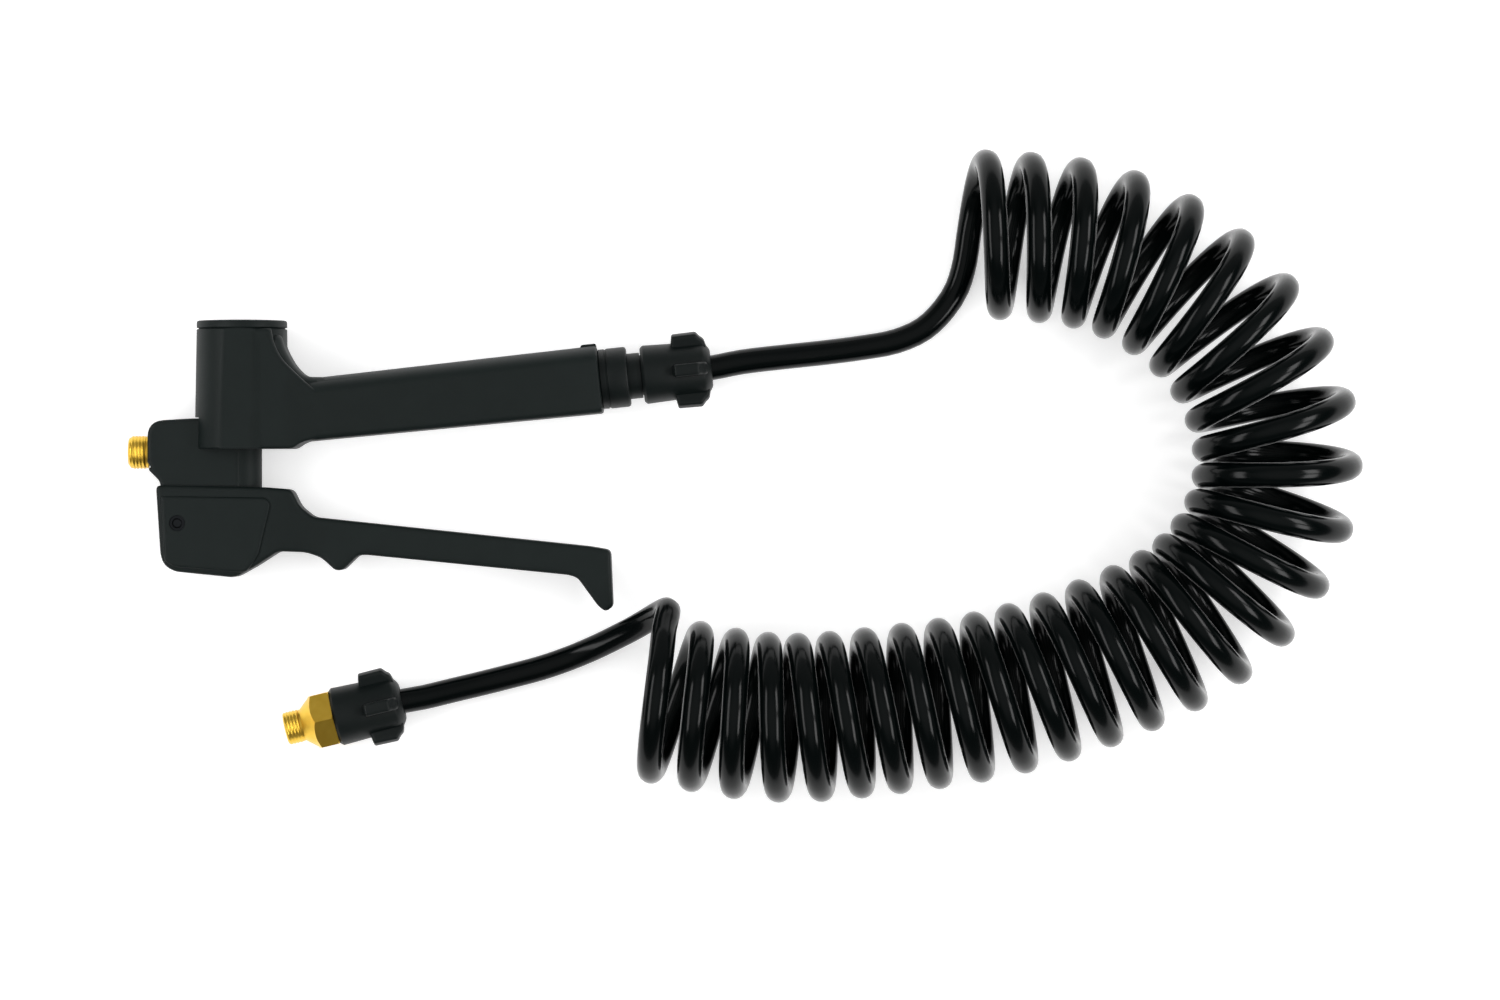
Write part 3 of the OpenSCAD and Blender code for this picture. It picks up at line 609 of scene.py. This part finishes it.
def make_fitting():
    """Supply end: thread, a cone that runs up to the flats, and a hexagon with turned-down corners."""
    bore = 2.4
    thread = threaded("supply_thread", THREAD_R, 0, END_THREAD_LEN, bore, ALONG_END)
    corner_r = HEX_HALF / math.cos(math.pi / 6)
    hexagon = turned("hexagon", [
        (END_THREAD_LEN - 0.1, bore), (END_THREAD_LEN - 0.1, 6.3), (END_THREAD_LEN + 0.6, 6.3),
        (HEX_START - 0.6, 9.9), (HEX_START + 1, corner_r + 0.05), (END_NUT_START - 0.5, corner_r + 0.05),
        (END_NUT_START, corner_r - 0.6), (END_NUT_START, bore), (END_THREAD_LEN - 0.1, bore),
    ], ALONG_END, 120)
    turns = [math.tau * k / 6 for k in range(6)]
    prism = lofted("prism", [
        [(corner_r * math.cos(t), corner_r * math.sin(t), along) for t in turns] for along in (0, 40)
    ], ALONG_END)
    combine(hexagon, [prism], "INTERSECT")
    spigot = turned("spigot", [
        (END_NUT_START - 0.1, bore), (END_NUT_START - 0.1, NECK_R), (END_NUT_START + 10, NECK_R),
        (END_NUT_START + 10, BARB_R), (END_NUT_START + BARB_END, BARB_R), (END_NUT_START + BARB_END, bore),
        (END_NUT_START - 0.1, bore),
    ], ALONG_END)
    return smooth(joined(thread, hexagon, spigot), 35)


# ---- hose fittings ----

def make_connector():
    """Flange against the handle's end, with the threaded neck that the nut screws onto."""
    d, neck = HANDLE_LEN, HANDLE_LEN + FLANGE_LEN
    return smooth(turned("connector", [
        (d - 24, 2.4), (d - 24, 9.6), (d + 0.05, 9.6), (d + 0.05, FLANGE_R - 0.5), (d + 0.4, FLANGE_R - 0.1),
        (d + 2.6, FLANGE_R - 0.1), (d + 2.8, FLANGE_R - 0.4), (d + 3.1, FLANGE_R - 0.4),
        (d + 3.3, FLANGE_R - 0.1), (d + 3.7, FLANGE_R), (neck - 1, FLANGE_R),
        (neck - 0.3, FLANGE_R - 0.4), (neck, FLANGE_R - 1.1),
        (neck, 9.1), (NUT_START - 0.4, 9.1), (NUT_START - 0.4, NECK_R), (NUT_START + 10, NECK_R),
        (NUT_START + 10, BARB_R), (NUT_START + BARB_END, BARB_R), (NUT_START + BARB_END, 2.4), (d - 24, 2.4),
    ], OUT_HANDLE, 128), 30)


def fins_tree(material):
    """Sets copies of one fin at even turns round +Z, joins them to the core and gives the material."""
    tree = bpy.data.node_groups.new("fins_round_core", "GeometryNodeTree")
    face = tree.interface
    face.new_socket("Geometry", in_out="OUTPUT", socket_type="NodeSocketGeometry")
    face.new_socket("Core", in_out="INPUT", socket_type="NodeSocketGeometry")
    face.new_socket("Fin", in_out="INPUT", socket_type="NodeSocketObject")
    face.new_socket("Fin count", in_out="INPUT", socket_type="NodeSocketInt")
    face.new_socket("First turn", in_out="INPUT", socket_type="NodeSocketFloat")
    given = add(tree, "NodeGroupInput")
    fin = add(tree, "GeometryNodeObjectInfo", inputs={"Object": given.outputs["Fin"]})
    spots = add(tree, "GeometryNodeMeshLine", inputs={
        "Count": given.outputs["Fin count"], "Offset": (0, 0, 0),
    })
    number = add(tree, "GeometryNodeInputIndex")
    share = add(tree, "ShaderNodeMath", {"operation": "DIVIDE"}, {
        0: number.outputs[0], 1: given.outputs["Fin count"],
    })
    turn = add(tree, "ShaderNodeMath", {"operation": "MULTIPLY_ADD"}, {
        0: share.outputs[0], 1: math.tau, 2: given.outputs["First turn"],
    })
    round_z = add(tree, "ShaderNodeCombineXYZ", inputs={"Z": turn.outputs[0]})
    copies = add(tree, "GeometryNodeInstanceOnPoints", inputs={
        "Points": spots.outputs["Mesh"], "Instance": fin.outputs["Geometry"], "Rotation": round_z.outputs[0],
    })
    real = add(tree, "GeometryNodeRealizeInstances", inputs={"Geometry": copies.outputs[0]})
    union = add(tree, "GeometryNodeMeshBoolean", {"operation": "UNION", "solver": "EXACT"})
    tree.links.new(given.outputs["Core"], union.inputs["Mesh 2"])
    tree.links.new(real.outputs[0], union.inputs["Mesh 2"])
    finish = add(tree, "GeometryNodeSetMaterial", inputs={
        "Geometry": union.outputs["Mesh"], "Material": material,
    })
    add(tree, "NodeGroupOutput", inputs={"Geometry": finish.outputs[0]})
    return tree


def make_nut(name, place, material):
    """A finned hose nut: plain collar, five fins and a short nose round the hose."""
    core = turned(name, [
        (0, NECK_BORE_R), (0, 10.5), (0.3, 11), (1.2, NUT_R + 0.1), (COLLAR_LEN - 0.4, NUT_R - 0.3),
        (COLLAR_LEN, CORE_R), (NUT_LEN - 3.4, CORE_R), (NUT_LEN - 2.4, 10.5), (NUT_LEN - 1, 8.9),
        (NUT_LEN - 0.2, 7.6), (NUT_LEN, 7), (NUT_LEN, HOSE_FIT_R), (16.5, HOSE_FIT_R),
        (16.5, SLEEVE_SEAT_R), (10.4, SLEEVE_SEAT_R), (10.4, NECK_BORE_R), (0, NECK_BORE_R),
    ], None, 120)
    side = rounded([
        (COLLAR_LEN - 0.8, 9), (COLLAR_LEN + 0.3, FIN_R - 0.2), (22.8, FIN_R),
        (24.3, 13.4), (25.8, 12.2), (26.6, 9),
    ], 0.8, sharp=(0, 5))
    stand = Matrix(((0, 1, 0, 0), (0, 0, 1, 0), (1, 0, 0, 0), (0, 0, 0, 1)))
    fin = plate("fin", side, FIN_WIDTH / 2, 1.2, stand, 0.8)
    tree = fins_tree(material)
    step = core.modifiers.new("fins", "NODES")
    step.node_group = tree
    values = {"Fin": fin, "Fin count": FIN_COUNT, "First turn": math.pi}
    for item in tree.interface.items_tree:
        if item.in_out == "INPUT" and item.name in values:
            step[item.identifier] = values[item.name]
    core.update_tag()
    baked(core)
    bpy.data.objects.remove(fin)
    place = Matrix.LocRotScale(place.to_translation() * MM, place.to_quaternion(), None)
    core.data.transform(place)
    return smooth(core, 34)


# ---- lever ----

LEVER_TOP = -14.8
LEVER_BACK = -33.4
LEVER_REACH = 148
HOUSING_HALF = 11
ARM_DRAW_IN = 1.5
PLATES_HALF = 12
LEVER_OUTLINE = [
    (LEVER_BACK, LEVER_TOP + 1.6), (9, LEVER_TOP + 0.9), (20.4, LEVER_TOP), (23.6, LEVER_TOP - 6.6),
    (29, -25.8), (LEVER_REACH - 9, -37.4), (LEVER_REACH - 1, -38.8), (LEVER_REACH, -61.4),
    (LEVER_REACH - 3, -63.4), (LEVER_REACH - 6, -61), (LEVER_REACH - 14, -50),
    (LEVER_REACH - 17.4, -48.8), (50, -40.8), (46.8, -41), (40.8, -46.8), (37.8, -47),
    (32, -41.8), (26, -39.8), (15.2, -39.4), (6, -45.4), (-2, -49.8), (-26, -47.4),
    (-30, -45), (-31.6, -41),
]
PLATE_OUTLINE = [
    (LEVER_BACK + 2, LEVER_TOP - 2.6), (10.6, LEVER_TOP - 3.2), (12.4, LEVER_TOP - 6), (7.6, -41),
    (2.6, -47.6), (-1, -47.8), (-26, -45.6), (-30, -43),
]


def lever_half(spots):
    """Half the moulding's width: the housing's, drawn in to the arm's past its front."""
    share = np.clip((spots[:, 0] - 12) / 20, 0, 1)
    return HOUSING_HALF - ARM_DRAW_IN * share * share * (3 - 2 * share)


def make_lever():
    """Channel-section housing with raised side plates, arm and hooked tip."""
    arm = plate("lever_moulding", rounded(LEVER_OUTLINE, 2, 4), lever_half, 1.6, AT_BARREL)
    joined(arm, plate("side_plates", rounded(PLATE_OUTLINE, 1.5, 3), PLATES_HALF, 1.1, AT_BARREL))
    cut(arm, slab("cavity", (-80, -38), (18.8, 20), BLOCK_HALF + 0.5, AT_BARREL))
    joined(arm, rod(PAD_BOSS_R, -38.5, -26.55, UP_BARREL))
    cut(
        arm,
        rod(PAD_BORE_R, -29.65, -26, UP_BARREL),
        rod(PIN_BORE_R, -14, 14, AT_PIVOT),
        *[rod(PIN_RECESS_R, 10.8, 14, AT_PIVOT @ Matrix.Rotation(turn, 4, "X")) for turn in (0, math.pi)],
    )
    return smooth(arm, 32)


def make_pivot_pin():
    """Pin with chamfered ends."""
    return smooth(turned("pin", [
        (-PIN_HALF, 0), (-PIN_HALF, PIN_R - 0.5), (0.5 - PIN_HALF, PIN_R),
        (PIN_HALF - 0.5, PIN_R), (PIN_HALF, PIN_R - 0.5), (PIN_HALF, 0),
    ], AT_PIVOT, 48), 30)


# ---- materials ----

def add(tree, kind, settings=None, inputs=None):
    """Adds one node, with its settings, and with a value or a link for each input given."""
    node = tree.nodes.new(kind)
    for key, value in (settings or {}).items():
        setattr(node, key, value)
    for key, value in (inputs or {}).items():
        if isinstance(value, bpy.types.NodeSocket):
            tree.links.new(value, node.inputs[key])
        else:
            node.inputs[key].default_value = value
    return node


def shade(code):
    """An sRGB hex colour as linear light."""
    parts = [int(code[i:i + 2], 16) / 255 for i in (1, 3, 5)]
    linear = [c / 12.92 if c <= 0.04045 else ((c + 0.055) / 1.055) ** 2.4 for c in parts]
    return (*linear, 1.0)


def new_material(name):
    material = bpy.data.materials.new(name)
    material.use_nodes = True
    material.node_tree.nodes.clear()
    return material, material.node_tree


def moulded_plastic(name, dark, light, rough_low, rough_high, grain):
    """Plastic or rubber from a spark-eroded mould: a matte, finely grained surface with a faint
    cloudiness, where broad soft highlights break up."""
    material, tree = new_material(name)
    spot = add(tree, "ShaderNodeTexCoord").outputs["Object"]
    cloud = add(tree, "ShaderNodeTexNoise", inputs={"Vector": spot, "Scale": 1 / (9 * MM), "Detail": 3})
    colour = add(tree, "ShaderNodeMix", {"data_type": "RGBA"}, {
        0: cloud.outputs["Fac"], 6: shade(dark), 7: shade(light),
    })
    # grain of the eroded mould is near 0.1 mm, drawn at 0.5 mm so that it shows
    fine = add(tree, "ShaderNodeTexNoise", inputs={"Vector": spot, "Scale": 1 / (0.5 * MM), "Detail": 2})
    rough = add(tree, "ShaderNodeMapRange", inputs={
        "Value": fine.outputs["Fac"], "To Min": rough_low, "To Max": rough_high,
    })
    bump = add(tree, "ShaderNodeBump", inputs={
        "Strength": grain, "Distance": 0.06 * MM, "Height": fine.outputs["Fac"],
    })
    surface = add(tree, "ShaderNodeBsdfPrincipled", inputs={
        "Base Color": colour.outputs[2], "Roughness": rough.outputs[0], "IOR": 1.3, "Normal": bump.outputs[0],
    })
    add(tree, "ShaderNodeOutputMaterial", inputs={"Surface": surface.outputs[0]})
    return material


def extruded_polyurethane():
    """Black polyurethane hose straight from the die: deep black and glossy, with faint lines along
    its length that make the long highlights waver a little."""
    material, tree = new_material("extruded_polyurethane")
    place = add(tree, "ShaderNodeUVMap", {"uv_map": "along_hose"}).outputs[0]
    # die lines are near 0.05 mm apart, drawn 0.8 mm wide so that they show
    stretch = add(tree, "ShaderNodeMapping", inputs={"Vector": place, "Scale": (6, 40, 1)})
    lines = add(tree, "ShaderNodeTexNoise", inputs={"Vector": stretch.outputs[0], "Scale": 1, "Detail": 2})
    rough = add(tree, "ShaderNodeMapRange", inputs={
        "Value": lines.outputs["Fac"], "To Min": 0.13, "To Max": 0.22,
    })
    bump = add(tree, "ShaderNodeBump", inputs={
        "Strength": 0.15, "Distance": 0.03 * MM, "Height": lines.outputs["Fac"],
    })
    surface = add(tree, "ShaderNodeBsdfPrincipled", inputs={
        "Base Color": shade("#020505"), "Roughness": rough.outputs[0], "IOR": 1.25, "Normal": bump.outputs[0],
    })
    add(tree, "ShaderNodeOutputMaterial", inputs={"Surface": surface.outputs[0]})
    return material


def machined_metal(name, bright, dull, rough_low, rough_high, spacing):
    """Metal turned on a lathe: fine tool marks spread each highlight, over a slightly uneven tone."""
    material, tree = new_material(name)
    spot = add(tree, "ShaderNodeTexCoord").outputs["Object"]
    patch = add(tree, "ShaderNodeTexNoise", inputs={"Vector": spot, "Scale": 1 / (4 * MM), "Detail": 3})
    colour = add(tree, "ShaderNodeMix", {"data_type": "RGBA"}, {
        0: patch.outputs["Fac"], 6: shade(dull), 7: shade(bright),
    })
    marks = add(tree, "ShaderNodeTexNoise", inputs={"Vector": spot, "Scale": 1 / (spacing * MM), "Detail": 2})
    rough = add(tree, "ShaderNodeMapRange", inputs={
        "Value": marks.outputs["Fac"], "To Min": rough_low, "To Max": rough_high,
    })
    bump = add(tree, "ShaderNodeBump", inputs={
        "Strength": 0.1, "Distance": 0.02 * MM, "Height": marks.outputs["Fac"],
    })
    surface = add(tree, "ShaderNodeBsdfPrincipled", inputs={
        "Base Color": colour.outputs[2], "Metallic": 1.0, "Roughness": rough.outputs[0],
        "Normal": bump.outputs[0],
    })
    add(tree, "ShaderNodeOutputMaterial", inputs={"Surface": surface.outputs[0]})
    return material


def dress(piece, material):
    piece.data.materials.clear()
    piece.data.materials.append(material)
    return piece


# ---- light, floor and world ----

def lamp(name, spot, size, radiance, glossy=True):
    """A soft box that faces the middle of the hose and gun, with the brightness of its face."""
    aim = Vector((0.25, -0.02, 0.0))
    data = bpy.data.lights.new(name, "AREA")
    data.shape = "RECTANGLE"
    data.size, data.size_y = size
    data.energy = radiance * math.pi * size[0] * size[1]
    box = bpy.data.objects.new(name, data)
    box.location = Vector(spot)
    facing = (Vector(spot) - aim).normalized()
    across = Vector((0, 1, 0)).cross(facing).normalized()
    box.rotation_euler = Matrix((across, facing.cross(across), facing)).transposed().to_euler()
    box.visible_camera = False
    box.visible_glossy = glossy
    bpy.context.scene.collection.objects.link(box)


# Brightness that the room's air gains as a direction's part along an axis goes from the first value
# to the second: most overhead, a little towards the horizon, and more at the +Y side than at the -Y.
ROOM_GLOW = (
    ("Z", 0.6, 1.0, 0.5),
    ("Z", 0.45, 0.0, 0.1),
    ("Y", 0.35, 0.9, 0.3),
    ("Y", -0.35, -0.9, 0.08),
)
ROOM_LEAST = 0.05
TABLE_GLOW = 0.45


def light_room():
    """A long narrow soft box on the left, two short ones on the right, a wide one overhead, and
    soft air all round. The camera sees that air as plain white."""
    middle, far, high = 0.25, 0.83, 0.7
    lamp("left_strip", (middle - far, 0, high), (0.3, 1.1), 5.0)
    lamp("right_strip_back", (middle + far, 0.3, high), (0.3, 0.5), 7.5)
    lamp("right_strip_front", (middle + far, -0.3, high), (0.3, 0.5), 7.5)
    lamp("overhead", (middle, 0, 1.4), (2.2, 2.2), 0.95, glossy=False)
    world = bpy.data.worlds.new("studio")
    bpy.context.scene.world = world
    world.use_nodes = True
    tree = world.node_tree
    tree.nodes.clear()
    way = add(tree, "ShaderNodeTexCoord").outputs["Generated"]
    parts = add(tree, "ShaderNodeSeparateXYZ", inputs={"Vector": way})
    level = None
    for axis, first, last, gain in ROOM_GLOW:
        rise = add(tree, "ShaderNodeMapRange", {"interpolation_type": "SMOOTHSTEP"}, {
            "Value": parts.outputs[axis], "From Min": first, "From Max": last, "To Min": 0.0, "To Max": gain,
        })
        level = add(tree, "ShaderNodeMath", {"operation": "ADD"}, {
            0: rise.outputs[0], 1: ROOM_LEAST if level is None else level.outputs[0],
        })
    path = add(tree, "ShaderNodeLightPath")
    shown = add(tree, "ShaderNodeMath", {"operation": "MAXIMUM"}, {
        0: path.outputs["Is Camera Ray"], 1: level.outputs[0],
    })
    air = add(tree, "ShaderNodeBackground", inputs={"Color": (1, 1, 1, 1), "Strength": shown.outputs[0]})
    add(tree, "ShaderNodeOutputWorld", inputs={"Surface": air.outputs[0]})


def lay_floor():
    """A white table that keeps a faint shadow."""
    reach = 6000
    mesh = bpy.data.meshes.new("floor")
    corners = [(-reach, -reach), (reach, -reach), (reach, reach), (-reach, reach)]
    mesh.from_pydata([(x * MM, y * MM, TABLE_Z * MM) for x, y in corners], [], [(0, 1, 2, 3)])
    floor = link("floor", mesh)
    material, tree = new_material("white_table")
    path = add(tree, "ShaderNodeLightPath")
    seen = add(tree, "ShaderNodeMath", {"operation": "ADD"}, {
        0: path.outputs["Is Camera Ray"], 1: path.outputs["Is Glossy Ray"],
    })
    through_glass = add(tree, "ShaderNodeMath", {"operation": "ADD", "use_clamp": True}, {
        0: seen.outputs[0], 1: path.outputs["Is Transmission Ray"],
    })
    glow_level = add(tree, "ShaderNodeMath", {"operation": "MULTIPLY"}, {
        0: through_glass.outputs[0], 1: TABLE_GLOW,
    })
    glow = add(tree, "ShaderNodeEmission", inputs={"Strength": glow_level.outputs[0]})
    paint = add(tree, "ShaderNodeBsdfDiffuse", inputs={"Color": (0.8, 0.8, 0.8, 1)})
    both = add(tree, "ShaderNodeAddShader", inputs={0: glow.outputs[0], 1: paint.outputs[0]})
    add(tree, "ShaderNodeOutputMaterial", inputs={"Surface": both.outputs[0]})
    mesh.materials.append(material)


# ---- the whole ----

place_camera()
hose, hose_line, hose_length = make_hose()

body_plastic = moulded_plastic("moulded_nylon", "#0b1312", "#101817", 0.46, 0.6, 0.4)
nut_plastic = moulded_plastic("moulded_acetal", "#080e0e", "#0c1211", 0.4, 0.52, 0.3)
hose_black = extruded_polyurethane()
brass = machined_metal("turned_brass", "#f2cb52", "#e0b13c", 0.3, 0.4, 0.5)
steel = machined_metal("bright_steel", "#c9cbcc", "#b4b7b9", 0.22, 0.36, 0.5)
black_steel = machined_metal("blackened_steel", "#2b2d2f", "#222426", 0.4, 0.52, 0.5)
seal_rubber = moulded_plastic("nitrile_rubber", "#101112", "#17191a", 0.55, 0.7, 0.3)
sleeve_plastic = moulded_plastic("natural_acetal", "#d2cdbf", "#ded9cc", 0.35, 0.45, 0.2)

dress(hose, hose_black)
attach(hose, "root")
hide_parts("hose_gun_tail", "hose_coil", "hose_end_tail")

pieces = {
    "handle_moulding": (make_handle(), body_plastic, "body_plastic", "root", "handle_body"),
    "barrel_end_cap": (make_cap(), body_plastic, "body_plastic", "root", "barrel_cap"),
    "valve_block": (make_valve_body(), body_plastic, "body_plastic", "root", "valve_body"),
    "outlet_thread": (make_nipple(), brass, "brass", "root", "outlet_nipple"),
    "connector": (make_connector(), nut_plastic, "nut_plastic", "root", "hose_connector"),
    "gun_nut": (make_nut("gun_nut", OUT_HANDLE @ Matrix.Translation((0, 0, NUT_START)), nut_plastic),
                nut_plastic, "nut_plastic", "root", "gun_hose_nut"),
    "end_nut": (make_nut("end_nut", ALONG_END @ Matrix.Translation((0, 0, END_NUT_START)), nut_plastic),
                nut_plastic, "nut_plastic", "root", "end_hose_nut"),
    "supply_fitting": (make_fitting(), brass, "brass", "root", "end_fitting"),
    "lever_moulding": (make_lever(), body_plastic, "body_plastic", "lever", "lever"),
    "pin": (make_pivot_pin(), black_steel, "steel", "root", "pivot_pin"),
}
for name, (piece, material, slot, body, node) in pieces.items():
    piece.name = name
    dress(piece, material)
    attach(piece, body)
    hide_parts(node)

FINISHES = {
    "body_plastic": body_plastic, "nut_plastic": nut_plastic, "hose_black": hose_black, "brass": brass,
    "steel": steel, "seal_rubber": seal_rubber, "sleeve_plastic": sleeve_plastic,
}
slots = {
    "cap_seal": "seal_rubber", "body_seals": "seal_rubber", "stem_seals": "seal_rubber",
    "outlet_seal": "seal_rubber", "tube_seals": "seal_rubber", "poppet_washer": "seal_rubber",
    "valve_seat": "brass", "stem_bush": "brass", "poppet": "brass", "handle_tube": "steel",
    "gun_clamp_sleeve": "sleeve_plastic", "end_clamp_sleeve": "sleeve_plastic",
    "gun_hose_end": "hose_black", "end_hose_end": "hose_black", "pin_clips": "steel",
    "thrust_pad": "steel", "valve_stem": "steel", "stem_nut": "steel", "valve_spring": "steel",
}
for node, slot in slots.items():
    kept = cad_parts[node]
    kept.data.materials.clear()
    kept.data.materials.append(black_steel if node == "pin_clips" else FINISHES[slot])

light_room()
lay_floor()
bpy.context.scene.view_settings.view_transform = "Standard"
